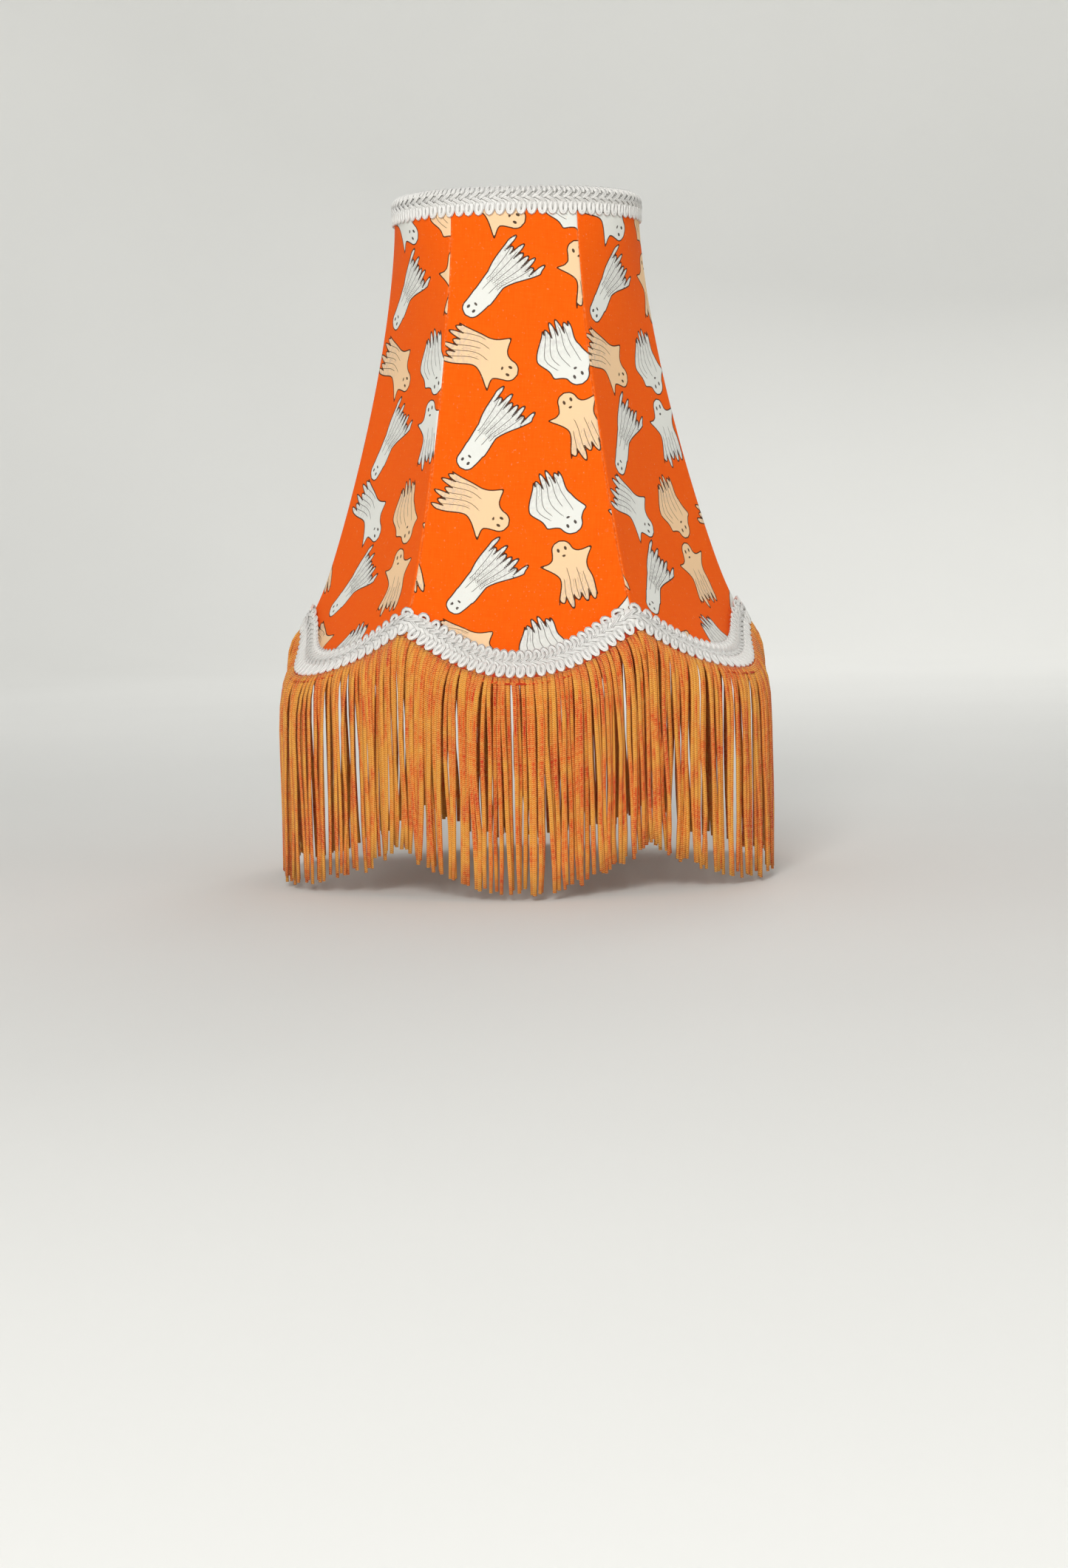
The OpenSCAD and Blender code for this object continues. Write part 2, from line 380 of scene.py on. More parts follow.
def material(name, build, **constants):
    """A Principled material: build(nodes) returns what feeds its sockets, constants are set."""
    mat = bpy.data.materials.new(name)
    mat.use_nodes = True
    nodes = Nodes(mat.node_tree)
    shader = mat.node_tree.nodes["Principled BSDF"]
    for key, value in constants.items():
        shader.inputs[key.replace("_", " ")].default_value = value
    for key, value in build(nodes).items():
        mat.node_tree.links.new(value, shader.inputs[key])
    return mat


def weave_group():
    """Plain weave: two crossed sine ridges, over and under by a checker, with slubs."""
    def build(n, source):
        x, y, _ = n.xyz(source["Cloth mm"])
        pitch = source["Thread mm"]
        warp = n.math("SINE", n.math("MULTIPLY", n.math("DIVIDE", x, pitch), math.tau))
        weft = n.math("SINE", n.math("MULTIPLY", n.math("DIVIDE", y, pitch), math.tau))
        over = n.math("MULTIPLY", warp, weft)
        slub_x = n.noise(n.stretched(source["Cloth mm"], (1.6, 0.12, 1)), 1.0, 2.0)
        slub_y = n.noise(n.stretched(source["Cloth mm"], (0.12, 1.6, 1)), 1.0, 2.0)
        slub = n.math("ADD", slub_x, slub_y)
        height = n.math("MULTIPLY_ADD", over, 0.25, n.math("MULTIPLY", slub, 0.5))
        return {"Height": height, "Slub": n.math("MULTIPLY", slub, 0.5)}
    return group("cloth_weave",
                 [("Cloth mm", "NodeSocketVector", None), ("Thread mm", "NodeSocketFloat", 0.4)],
                 [("Height", "NodeSocketFloat"), ("Slub", "NodeSocketFloat")], build)


def soil_group():
    """Handling and dust: broad blotches and fine specks from object coordinates."""
    def build(n, source):
        where = source["Place"]
        blotch = n.ramp(n.noise(where, 22.0, 4.0), 0.38, 0.72)
        speck = n.ramp(n.noise(where, 900.0, 2.0), 0.66, 0.76)
        return {"Blotch": blotch, "Speck": speck}
    return group("handling_soil", [("Place", "NodeSocketVector", None)],
                 [("Blotch", "NodeSocketFloat"), ("Speck", "NodeSocketFloat")], build)


def thread_group():
    """Satin strands laid along a cord with a slow twist: ridges from the UV round and along it."""
    def build(n, source):
        u, v, _ = n.xyz(source["Cord uv"])
        lean = n.math("MULTIPLY_ADD", u, source["Lean"], n.math("DIVIDE", v, source["Pitch mm"]))
        ridge = n.math("SINE", n.math("MULTIPLY", lean, math.tau))
        return {"Height": n.math("MULTIPLY_ADD", ridge, 0.5, 0.5)}
    return group("twisted_strands",
                 [("Cord uv", "NodeSocketVector", None), ("Pitch mm", "NodeSocketFloat", 0.3),
                  ("Lean", "NodeSocketFloat", 2.0)], [("Height", "NodeSocketFloat")], build)


WEAVE = weave_group()
SOIL = soil_group()
THREAD = thread_group()

PRINT_ORANGE = linear(250, 94, 2)
PRINT_WHITE = linear(236, 237, 231)
PRINT_PEACH = linear(250, 212, 168)
PRINT_INK = linear(44, 24, 12)
PRINT_GREY = linear(176, 168, 172)
OUTLINE_MM = 0.26              # half the width of the ink round a figure
STROKE_MM = 0.12               # half the width of a fold stroke


def printed_cotton():
    """Orange cotton with inked white and peach figures, a weave, and wear along the ribs."""
    def build(n):
        cloth = n.add("ShaderNodeUVMap", uv_map="cloth")
        place_in = n.add("ShaderNodeTexCoord", out="Object")
        weave = use(n, WEAVE, {"Cloth mm": cloth, "Thread mm": 0.42})
        soil = use(n, SOIL, {"Place": place_in})
        ragged = n.math("MULTIPLY_ADD", n.noise(cloth, 1.9, 2.0), 0.22, -0.11)
        fill = n.math("ADD", n.field("figure"), n.math("MULTIPLY", ragged, 0.5))
        inside = n.ramp(fill, -0.04, 0.04)
        outline = n.ramp(n.math("ABSOLUTE", fill), OUTLINE_MM + 0.05, OUTLINE_MM - 0.05)
        stroke = n.ramp(n.math("ABSOLUTE", n.field("stroke")), STROKE_MM + 0.05, STROKE_MM - 0.05)
        near = n.ramp(n.field("stroke_near"), 0.85, 0.7)
        face = n.ramp(n.field("face"), -0.04, 0.04)
        stroke = n.math("MULTIPLY", n.math("MULTIPLY", stroke, near), inside)
        face = n.math("MULTIPLY", face, inside)
        ink = n.math("MAXIMUM", n.math("MAXIMUM", outline, stroke), face)
        ground = n.mix(n.math("MULTIPLY", soil["Blotch"], 0.10), PRINT_ORANGE, linear(226, 74, 2))
        ground = n.mix(n.ramp(weave["Slub"], 0.35, 0.7, 0.0, 0.28), ground, linear(255, 128, 36))
        paper = n.mix(n.field("tint"), PRINT_WHITE, PRINT_PEACH)
        hem = n.math("MULTIPLY", n.ramp(n.field("hem"), 0.35, 1.0, 0.0, 0.55),
                     n.ramp(n.noise(n.stretched(cloth, (0.9, 0.5, 1)), 1.0, 2.0), 0.40, 0.62))
        paper = n.mix(hem, paper, PRINT_GREY)
        colour = n.mix(inside, ground, paper)
        colour = n.mix(n.math("MULTIPLY", ink, 0.92), colour, PRINT_INK)
        rib = n.ramp(n.field("rib"), 1.0, 0.2)
        worn = n.math("MULTIPLY", rib, n.ramp(n.noise(place_in, 900.0, 4.0), 0.45, 0.7, 0.0, 0.32))
        colour = n.mix(worn, colour, linear(255, 190, 130))
        colour = n.mix(n.math("MULTIPLY", soil["Speck"], 0.25), colour, linear(240, 200, 160))
        rough = n.ramp(weave["Slub"], 0.3, 0.7, 0.82, 0.95)
        return {"Base Color": colour, "Roughness": rough,
                "Normal": n.bump(weave["Height"], 0.35, 0.0002)}
    return material("printed_cotton", build, Sheen_Weight=0.03, Sheen_Roughness=0.5,
                    Specular_IOR_Level=0.08)


def lining_cotton():
    """Off-white lining, a little warmer where it has been near a bulb."""
    def build(n):
        cloth = n.add("ShaderNodeUVMap", uv_map="cloth")
        place_in = n.add("ShaderNodeTexCoord", out="Object")
        weave = use(n, WEAVE, {"Cloth mm": cloth, "Thread mm": 0.5})
        soil = use(n, SOIL, {"Place": place_in})
        colour = n.mix(n.math("MULTIPLY", soil["Blotch"], 0.5), linear(240, 237, 228),
                       linear(230, 219, 196))
        colour = n.mix(n.math("MULTIPLY", soil["Speck"], 0.3), colour, linear(170, 150, 120))
        return {"Base Color": colour, "Roughness": n.ramp(weave["Slub"], 0.3, 0.7, 0.8, 0.95),
                "Normal": n.bump(weave["Height"], 0.5, 0.0002)}
    return material("lining_cotton", build, Sheen_Weight=0.1, Specular_IOR_Level=0.3)


def braid_rayon():
    """White satin-covered cord, with painted shade: greyer down in the grooves between its twisted
    strands.
    """
    def build(n):
        uv = n.add("ShaderNodeUVMap", uv_map="cloth")
        place_in = n.add("ShaderNodeTexCoord", out="Object")
        thread = use(n, THREAD, {"Cord uv": uv, "Pitch mm": 6.5, "Lean": 4.0})
        soil = use(n, SOIL, {"Place": place_in})
        colour = n.mix(n.math("MULTIPLY", soil["Blotch"], 0.35), linear(244, 243, 240),
                       linear(226, 222, 214))
        # painted shade: the cord turns grey where the strands' ridges are low
        colour = n.mix(n.ramp(thread["Height"], 0.0, 0.45, 0.35, 0.0), colour,
                       linear(196, 192, 188))
        return {"Base Color": colour, "Roughness": n.ramp(thread["Height"], 0, 1, 0.6, 0.42),
                "Normal": n.bump(thread["Height"], 0.8, 0.00025)}
    return material("braid_rayon", build, Sheen_Weight=0.2, Specular_IOR_Level=0.45)


def heading_weave():
    """Red-orange woven tape with flecks of gold."""
    def build(n):
        cloth = n.add("ShaderNodeUVMap", uv_map="cloth")
        place_in = n.add("ShaderNodeTexCoord", out="Object")
        weave = use(n, WEAVE, {"Cloth mm": cloth, "Thread mm": 0.7})
        gold = n.ramp(n.noise(place_in, 420.0, 2.0), 0.5, 0.62, 0.0, 0.6)
        colour = n.mix(gold, linear(214, 62, 10), linear(238, 170, 70))
        colour = n.mix(n.ramp(weave["Slub"], 0.3, 0.6, 0.5, 0.0), colour, linear(120, 20, 4))
        return {"Base Color": colour, "Roughness": n.ramp(weave["Slub"], 0.3, 0.7, 0.6, 0.8),
                "Normal": n.bump(weave["Height"], 0.8, 0.0003)}
    return material("heading_weave", build, Specular_IOR_Level=0.3)


CHAIN_MM = 0.78                # length of one stitch of the chainette


def fringe_chainette():
    """Knitted cord dyed from gold through orange to red, with painted shade in the grooves between
    stitches and a painted highlight on each stitch's crest.

    Each half of the cord's girth carries one chain: the stitch line runs as a V, so its
    phase is the length along the cord plus a triangle wave round it.
    """
    def build(n):
        uv = n.add("ShaderNodeUVMap", uv_map="cloth")
        place_in = n.add("ShaderNodeTexCoord", out="Object")
        u, v, _ = n.xyz(uv)
        half = n.math("FRACT", n.math("MULTIPLY", u, 2.0))
        vee = n.math("ABSOLUTE", n.math("SUBTRACT", half, 0.5))
        phase = n.math("ADD", n.math("DIVIDE", v, CHAIN_MM), n.math("MULTIPLY", vee, 1.3))
        ridge = n.math("SUBTRACT", 1.0, n.math("ABSOLUTE", n.math(
            "SUBTRACT", n.math("MULTIPLY", n.math("FRACT", phase), 2.0), 1.0)))
        seam = n.ramp(vee, 0.0, 0.10)
        height = n.math("MULTIPLY", n.math("POWER", ridge, 0.6), n.ramp(seam, 0, 1, 0.45, 1.0))
        cord = n.add("ShaderNodeCombineXYZ", {0: n.math("MULTIPLY", n.field("strand"), 60.0),
                                              1: n.math("DIVIDE", v, 15.0)})
        dye = n.noise(cord, 1.0, 2.0)
        near = n.noise(n.stretched(place_in, (1.0, 1.0, 0.5)), 50.0, 1.0)
        dye = n.math("ADD", n.math("MULTIPLY", dye, 0.7), n.math("MULTIPLY", near, 0.3))
        warm = n.mix(n.ramp(dye, 0.42, 0.56), linear(255, 170, 60), linear(248, 100, 22))
        warm = n.mix(n.ramp(dye, 0.55, 0.64), warm, linear(228, 46, 8))
        strand = n.ramp(n.noise(n.stretched(uv, (6.0, 0.7, 1)), 1.0, 2.0), 0.4, 0.6, 0.0, 0.45)
        warm = n.mix(strand, warm, linear(255, 188, 98))
        # painted highlight: the crest of each stitch is lightened towards pale gold
        warm = n.mix(n.ramp(height, 0.72, 1.0, 0.0, 0.65), warm, linear(255, 206, 108))
        # painted shade: the grooves between stitches are darkened towards dark maroon
        colour = n.mix(n.ramp(height, 0.0, 0.5, 0.9, 0.0), warm, linear(132, 30, 6))
        return {"Base Color": colour, "Roughness": n.ramp(height, 0, 1, 0.7, 0.45),
                "Normal": n.bump(height, 0.8, 0.0004)}
    return material("fringe_chainette", build, Sheen_Weight=0.05, Specular_IOR_Level=0.3)


def frame_steel():
    """Drawn steel wire with a thin tin coat, dull patches and a few rust specks."""
    def build(n):
        place_in = n.add("ShaderNodeTexCoord", out="Object")
        soil = use(n, SOIL, {"Place": place_in})
        colour = n.mix(n.math("MULTIPLY", soil["Blotch"], 0.5), linear(186, 184, 178),
                       linear(140, 136, 128))
        colour = n.mix(n.math("MULTIPLY", soil["Speck"], 0.6), colour, linear(120, 70, 40))
        drawn = n.noise(n.stretched(place_in, (1, 1, 0.2)), 1500.0, 2.0)
        return {"Base Color": colour, "Roughness": n.ramp(soil["Blotch"], 0, 1, 0.3, 0.5),
                "Normal": n.bump(drawn, 0.2, 0.0001)}
    return material("frame_steel", build, Metallic=1.0)


def fitter_brass():
    """Stamped brass with turning marks and darker handling marks."""
    def build(n):
        place_in = n.add("ShaderNodeTexCoord", out="Object")
        soil = use(n, SOIL, {"Place": place_in})
        colour = n.mix(soil["Blotch"], linear(214, 178, 104), linear(168, 130, 66))
        marks = n.noise(place_in, 2600.0, 2.0)
        return {"Base Color": colour, "Roughness": n.ramp(soil["Blotch"], 0, 1, 0.28, 0.5),
                "Normal": n.bump(marks, 0.15, 0.0001)}
    return material("fitter_brass", build, Metallic=1.0)


# ---------------------------------------------------------------- the printed figures

# Each kind of figure, in millimetres along its body: a plain sheet ghost with a round head,
# pointed sleeves and a torn hem. sleeves are (share of the length, side, reach) and folds
# (place across the body, share of the length where it starts).
FIGURES = {
    "comet": dict(length=38, head=3.9, waist=4.9, hem=9.6, bend=1.6, points=8, notch=8.0, tip=0.42,
                  sleeves=(), folds=((-0.66, 0.5), (-0.34, 0.4), (0, 0.52), (0.34, 0.38),
                                     (0.68, 0.5))),
    "flyer": dict(length=34, head=4.3, waist=6.4, hem=8.6, bend=-3.0, points=6, notch=6.5, tip=0.7,
                  sleeves=((0.42, 1, 7.4), (0.37, -1, 5.2)),
                  folds=((-0.7, 0.6), (-0.36, 0.5), (-0.02, 0.62), (0.3, 0.46), (0.64, 0.58))),
    "stander": dict(length=30, head=4.1, waist=6.2, hem=8.2, bend=1.8, points=5, notch=6.5,
                    tip=0.75, sleeves=((0.36, 1, 6.2), (0.42, -1, 5.6)),
                    folds=((-0.66, 0.62), (-0.3, 0.46), (0.02, 0.66), (0.34, 0.5), (0.66, 0.6))),
    "drooper": dict(length=31, head=4.6, waist=9.6, hem=5.6, bend=4.0, points=4, notch=8.5,
                    tip=0.7, sleeves=((0.34, -1, 1.8), (0.30, 1, 2.4)),
                    folds=((-0.62, 0.36), (-0.3, 0.48), (0.05, 0.34), (0.4, 0.42), (0.7, 0.36))),
}

# The printed repeat: columns side by side, each a list of (kind, tint, turn, shift) going up.
# tint is 0 for white and 1 for peach; turn is the way the hem points, in degrees from down,
# and shift the figure's place across, in millimetres.
REPEAT = [
    [("flyer", 1, -112, -6), ("comet", 0, 139, 0)],
    [("drooper", 0, -152, -6), ("stander", 1, 24, 0)],
    [("flyer", 0, -118, -5), ("comet", 0, 142, 1), ("flyer", 1, -112, -6), ("comet", 0, 138, 0)],
    [("drooper", 1, -158, -4), ("stander", 0, 12, 0), ("drooper", 0, -156, -5),
     ("stander", 1, 16, 1)],
]
COLUMN_MM = 36.0
ROW_MM = 31.4
COLUMN_RISE = 5.0              # how much higher every second column stands
PRINT_TURN = 4.0               # the print's lean on each panel, in degrees
PRINT_X, PRINT_Y = 4.3, 5.0    # where the repeat starts on panel 1
FAR_MM = 3.0                   # distances are cut off here


def figure_shape(length, head, waist, hem, bend, sleeves, folds, points, notch, tip):
    """Outline, fold strokes and face of a figure whose head is at 0 and hem at y = length.

    Half the width is a half circle at the head, then a smooth step to the waist and the hem.
    A sleeve adds a bump that is drawn back towards the head. The hem is a row of fingers,
    |sin| to the power tip, of uneven length.
    """
    t = np.linspace(0, 1, 44)
    y = t * (length - notch * 0.5)
    body = np.clip((y - head) / (length - notch * 0.5 - head), 0, 1)
    ease = body * body * (3 - 2 * body)
    flank = np.where(body < 0.5, head + (waist - head) * np.sin(np.pi * body),
                     waist + (hem - waist) * (2 * body - 1))
    round_head = np.sqrt(np.clip(1 - (1 - np.minimum(y / head, 1)) ** 2, 0, 1)) * head
    half = np.where(y < head, round_head, flank)
    middle = bend * np.sin(np.pi * ease * 0.9)
    sides = []
    for side in (-1, 1):
        reach = np.zeros_like(t)
        for share, which, size in sleeves:
            if which == side:
                reach += size * np.exp(-np.abs((t - share) / 0.075) ** 1.4)
        wave = 0.35 * np.sin(9 * t + side) * (t > 0.3)
        sides.append(np.stack([middle + side * (half + reach + wave), y - 0.55 * reach], -1))
    f = np.linspace(0, points, 8 * points + 1)[1:-1]
    finger = np.abs(np.sin(np.pi * f)) ** tip
    long = 0.72 + 0.28 * np.sin(2.6 * np.floor(f) + points)
    x = middle[-1] + hem * (2 * f / points - 1)
    torn = np.stack([x, y[-1] + notch * (long * finger - 0.5)], -1)
    outline = np.concatenate([sides[0], torn, sides[1][::-1]])
    strokes = []
    for q, start in folds:
        s = np.linspace(start, 0.97, 9)
        at = np.interp(s, t, middle) + q * np.interp(s, t, half)
        strokes.append(np.stack([at + 0.5 * np.sin(7 * s), s * y[-1]], -1))
    face = [(-0.36 * head, 0.92 * head, 0.58, 0.95), (0.40 * head, 0.88 * head, 0.58, 0.95),
            (0.03 * head, 1.6 * head, 0.85, 0.5)]
    return outline, strokes, face


def segment_distance(q, line):
    """Distance from points q to a polyline, and the side of its nearest segment."""
    a, b = line[:-1], line[1:]
    ab = b - a
    aq = q[:, None] - a
    s = np.clip((aq * ab).sum(-1) / np.maximum((ab * ab).sum(-1), 1e-12), 0, 1)
    off = aq - s[..., None] * ab
    d = np.linalg.norm(off, axis=-1)
    nearest = d.argmin(1)
    rows = np.arange(len(q))
    cross = ab[nearest, 0] * off[rows, nearest, 1] - ab[nearest, 1] * off[rows, nearest, 0]
    return d[rows, nearest], np.where(cross < 0, -1.0, 1.0)


def inside_outline(q, outline):
    """Even-odd test of points q against a closed outline."""
    a, b = outline, np.roll(outline, -1, 0)
    crosses = (a[:, 1] > q[:, None, 1]) != (b[:, 1] > q[:, None, 1])
    slope = (b[:, 0] - a[:, 0]) / np.where(b[:, 1] == a[:, 1], 1e-9, b[:, 1] - a[:, 1])
    left = q[:, None, 0] < a[:, 0] + slope * (q[:, None, 1] - a[:, 1])
    return (crosses & left).sum(1) % 2 == 1


def print_fields(cloth, first_column):
    """Values of the printed pattern at points of the flat cloth, in millimetres.

    figure is the distance inside a figure's outline, stroke the signed distance from the
    nearest fold stroke and stroke_near its size, face the distance inside an eye or mouth.
    """
    n = len(cloth)
    fields = {
        "figure": np.full(n, -FAR_MM), "stroke": np.full(n, FAR_MM),
        "stroke_near": np.full(n, FAR_MM), "face": np.full(n, -FAR_MM),
        "tint": np.zeros(n), "hem": np.zeros(n),
    }
    shapes = {kind: figure_shape(**sizes) for kind, sizes in FIGURES.items()}
    low, high = cloth.min(0) - 20, cloth.max(0) + 20
    columns = range(math.floor(low[0] / COLUMN_MM), math.ceil(high[0] / COLUMN_MM) + 1)
    rows = range(math.floor(low[1] / ROW_MM), math.ceil(high[1] / ROW_MM) + 1)
    for column in columns:
        for row in rows:
            figures = REPEAT[(column + first_column) % len(REPEAT)]
            kind, tint, turn, shift = figures[row % len(figures)]
            centre = np.array([COLUMN_MM * column + shift,
                               ROW_MM * row + COLUMN_RISE * (column % 2)])
            reach = FIGURES[kind]["length"]
            chosen = np.flatnonzero((np.abs(cloth - centre) < 0.72 * reach).all(1))
            if len(chosen) == 0:
                continue
            a = math.radians(turn + 3 * math.sin(1.7 * row + 0.9 * column))
            across = np.array([math.cos(a), math.sin(a)])
            along = np.array([-math.sin(a), math.cos(a)])
            local = cloth[chosen] - centre
            q = np.stack([local @ across, -(local @ along) + reach / 2], -1)
            outline, strokes, face = shapes[kind]
            ring = np.concatenate([outline, outline[:1]])
            d, _ = segment_distance(q, ring)
            d = np.where(inside_outline(q, outline), d, -d)
            better = d > fields["figure"][chosen]
            chosen, q, d = chosen[better], q[better], d[better]
            fields["figure"][chosen] = np.minimum(d, FAR_MM)
            fields["tint"][chosen] = tint
            fields["hem"][chosen] = np.clip(q[:, 1] / reach, 0, 1)
            near, signed = np.full(len(q), FAR_MM), np.full(len(q), FAR_MM)
            for line in strokes:
                size, sign = segment_distance(q, line)
                closer = size < near
                near = np.where(closer, size, near)
                signed = np.where(closer, size * sign, signed)
            fields["stroke_near"][chosen], fields["stroke"][chosen] = near, signed
            eye = np.full(len(q), -FAR_MM)
            for x, y, rx, ry in face:
                scaled = np.hypot((q[:, 0] - x) / rx, (q[:, 1] - y) / ry)
                eye = np.maximum(eye, (1 - scaled) * min(rx, ry))
            fields["face"][chosen] = eye
    return fields


# ---------------------------------------------------------------- covers and lining

COVER_COLS, COVER_ROWS = 132, 310
LINING_COLS, LINING_ROWS = 32, 72


def panel_sheet(k, top, lift, trim, rows, cols):
    """Grid of one cloth panel: its points and their places on the flat cloth, in millimetres.

    u runs from -1 to 1 between the ribs and v from 0 at depth top to 1 at the scalloped edge,
    less trim. The flat place is the length across from the middle and the length down.
    """
    u, v = np.meshgrid(np.linspace(-1, 1, cols), np.linspace(0, 1, rows))
    depth = top + (edge_depth(u) - trim - top) * v
    angle = panel_angle(k) + HALF_PANEL * u
    points = on_cloth(angle, depth, lift)
    across = np.concatenate([np.zeros((rows, 1)), np.cumsum(
        np.linalg.norm(np.diff(points, axis=1)[..., :2], axis=-1), 1)], 1)
    across = across - across[:, -1:] / 2
    down = np.concatenate([np.zeros((1, cols)), np.cumsum(
        np.linalg.norm(np.diff(points, axis=0), axis=-1), 0)], 0)
    return u, points, np.stack([across, -down], -1)


def flat_size(flat, points):
    """Width, length and area of a panel's flat cut, in metres and square metres."""
    a = points[1:, 1:] - points[:-1, :-1]
    b = points[:-1, 1:] - points[1:, :-1]
    area = 0.5 * np.linalg.norm(np.cross(a, b), axis=-1).sum()
    width = np.ptp(flat[..., 0])
    length = np.ptp(flat[..., 1])
    return (width * MM, length * MM), area * MM * MM


def cover(k, mat):
    """Printed cover panel: cloth stretched between two ribs, the ring and its bottom wire."""
    u, points, flat = panel_sheet(k, RING_DEPTH, 0.0, 0.0, COVER_ROWS, COVER_COLS)
    a = math.radians(PRINT_TURN)
    lean = np.array([[math.cos(a), math.sin(a)], [-math.sin(a), math.cos(a)]])
    shift = [3.5 * math.sin(2.4 * (k - 1)), 3.0 * math.sin(1.7 * (k - 1))]
    cloth = flat @ lean + [PRINT_X + shift[0], PRINT_Y + shift[1]]
    cloth = cloth.reshape(-1, 2)
    fields = print_fields(cloth, 2 * (k - 1))
    radius = np.linalg.norm(points[..., :2], axis=-1)
    fields["rib"] = (1 - np.abs(u)) * math.radians(HALF_PANEL) * radius
    faces = grid_faces(COVER_ROWS, COVER_COLS)
    obj = piece(f"cover_{k}", points.reshape(-1, 3), [faces], [cloth[faces]], fields)
    dressed(thickened(obj, COVER_T), mat, f"cover_panel_{k}")
    return obj, flat_size(flat, points)


LINING_LIFT = -(COVER_T + 2 * GAP + RING_WIRE)


LINING_ROLL = 1.78             # radius of the lining's turn over the ring's wire


def lining(k, mat):
    """Lining panel inside the ribs, turned over the top ring and out under the bottom wire.

    At the top its rows follow an arc about the ring's wire. At the bottom they are given as
    heights above the scalloped edge and lifts off the cover.
    """
    u = np.linspace(-1, 1, LINING_COLS)
    angle = panel_angle(k) + HALF_PANEL * u
    over = [place(angle, RING_R + LINING_ROLL * math.cos(a) + 0 * u,
                  RING_DEPTH - LINING_ROLL * math.sin(a) + 0 * u)
            for a in np.radians(np.linspace(104, 196, 9))]
    _, wall, _ = panel_sheet(k, RING_DEPTH + 2.0, LINING_LIFT, 2.4, LINING_ROWS, LINING_COLS)
    hem = [on_cloth(angle, edge_depth(u) - up, lift)
           for up, lift in ((1.7, -4.1), (1.2, -3.6), (0.95, -2.9), (0.85, -2.1), (0.8, -1.25))]
    points = np.concatenate([over, wall, hem])
    across = np.cumsum(np.linalg.norm(np.diff(points, axis=1, prepend=points[:, :1]), axis=-1), 1)
    down = np.cumsum(np.linalg.norm(np.diff(points, axis=0, prepend=points[:1]), axis=-1), 0)
    flat = np.stack([across - across[:, -1:] / 2, -down], -1)
    faces = grid_faces(*points.shape[:2])
    obj = piece(f"lining_{k}", points.reshape(-1, 3), [faces], [flat.reshape(-1, 2)[faces]])
    dressed(thickened(obj, LINING_T), mat, f"lining_panel_{k}")
    return obj, flat_size(flat, points)


# ---------------------------------------------------------------- along the trimmed edges

EDGE_TURN = 4.5                # how softly the trimmings turn the corner at a rib


def edge_table():
    """Run in millimetres, angle, depth and slope of the scalloped edge, all the way round.

    The slope is the angle between the edge and the level, blurred along the edge by a bell
    curve so that the trimmings turn smoothly at the ribs.
    """
    angle = np.linspace(-90 - HALF_PANEL, 270 - HALF_PANEL, PANELS * 300 + 1)
    u = (angle + 90 + HALF_PANEL) % (2 * HALF_PANEL) / HALF_PANEL - 1
    depth = edge_depth(u)
    steps = np.linalg.norm(np.diff(on_cloth(angle, depth), axis=0), axis=-1)
    run = np.concatenate([[0], np.cumsum(steps)])
    down = np.gradient(depth) * np.sqrt(1 + rib_slope(depth) ** 2)
    level = np.radians(np.gradient(angle)) * cloth_radius(angle, depth)
    slope = np.arctan2(down, level)
    reach = np.arange(-30, 31)
    weight = np.exp(-0.5 * (reach * run[-1] / (len(run) - 1) / EDGE_TURN) ** 2)
    padded = np.concatenate([slope[-31:-1], slope, slope[1:31]])
    return run, angle, depth, np.convolve(padded, weight / weight.sum(), "valid")


EDGE_RUN, EDGE_ANGLE, EDGE_DEPTH, EDGE_SLOPE = edge_table()
EDGE_LENGTH = EDGE_RUN[-1]
TOP_LENGTH = 2 * math.pi * (TOP_R + 0.8)


def on_edge(run, up, lift):
    """Point up millimetres above the scalloped edge, square to it, and lift off the cloth."""
    run = run % EDGE_LENGTH
    angle, depth, slope = (np.interp(run, EDGE_RUN, t)
                           for t in (EDGE_ANGLE, EDGE_DEPTH, EDGE_SLOPE))
    angle = angle + np.degrees(up * np.sin(slope) / cloth_radius(angle, depth))
    rise = up * np.cos(slope)
    return on_cloth(angle, depth - rise / np.sqrt(1 + rib_slope(depth - rise / 2) ** 2), lift)


def over_ring(run, up, lift):
    """Point up millimetres above the upper braid's lower edge, and lift off what it lies on.

    It goes up the cloth to the ring's level and then in over the ring, on an arc about the
    ring's wire.
    """
    angle = 360 * run / TOP_LENGTH
    level = BRAID_W - RING_DEPTH
    arc = TOP_R - RING_R
    roll = np.maximum(up - level, 0) / (arc + 0.75)
    depth = BRAID_W - np.minimum(up, level)
    radius = np.where(up <= level, cloth_radius(angle, depth, lift),
                      RING_R + (arc + lift) * np.cos(roll))
    return place(angle, radius, np.where(up <= level, depth,
                                         RING_DEPTH - (arc + lift) * np.sin(roll)))


# ---------------------------------------------------------------- gimp braid

LOOP_MM = 4.4                  # from one loop of the braid to the next


def arc_path(half, middle, reach, opening, count):
    """Loop of cord: across = half * sin(t), up = middle - reach * cos(t), t either side of 0."""
    t = np.radians(np.linspace(-opening, opening, count))
    return half * np.sin(t), middle - reach * np.cos(t)


